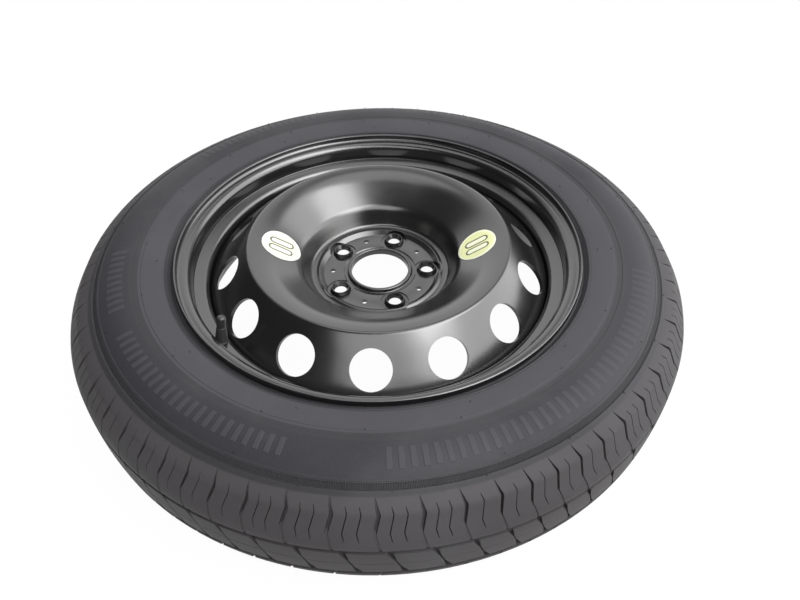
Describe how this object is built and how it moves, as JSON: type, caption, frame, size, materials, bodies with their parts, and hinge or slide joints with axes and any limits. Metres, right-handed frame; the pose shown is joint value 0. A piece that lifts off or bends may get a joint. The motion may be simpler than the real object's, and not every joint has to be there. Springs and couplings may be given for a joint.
{
  "type": "space saver spare wheel",
  "caption": "Narrow tyre on a black pressed steel wheel with a domed, vented disc, a ring of bolt seats, a snap-in valve and two oval stickers.",
  "frame": {"origin": "centre of the hub mounting face, on the wheel's axis", "axes": "+Z along the wheel's axis, outboard; the wheel lies flat on its inboard sidewall; the picture is taken from -Y"},
  "size_m": [0.736, 0.736, 0.1522],
  "materials": {
    "tyre": "matt",
    "rim": "semi-gloss",
    "disc": "semi-gloss",
    "valve_rubber": "matt",
    "brass": "plain",
    "seal": "matt",
    "gasket": "plain",
    "steel_wire": "plain",
    "cap": "satin",
    "sticker": "satin"
  },
  "bodies": {
    "wheel": {"tyre": "tyre", "rim": "rim", "disc": "disc", "valve_rubber": "valve_rubber", "valve_stem": "brass", "valve_core_plug": "brass", "valve_core_barrel": "brass", "valve_core_gasket": "gasket", "valve_spring": "steel_wire", "sticker_left": "sticker", "sticker_right": "sticker"},
    "cap": {"valve_cap": "cap", "valve_cap_seal": "seal"},
    "pin": {"valve_pin": "steel_wire", "valve_pin_cup": "brass", "valve_pin_seal": "seal"}
  },
  "joints": [
    {"name": "valve_cap_lift", "type": "slide", "parent": "wheel", "child": "cap", "axis": [0.166, 0.1251, 0.9781], "range_m": [0, 0.03]},
    {"name": "valve_pin_press", "type": "slide", "parent": "wheel", "child": "pin", "axis": [-0.166, -0.1251, -0.9781], "range_m": [0, 0.0012], "stiffness_N_per_m": 500, "springref_m": -0.002, "deforming": ["valve_spring"]}
  ]
}
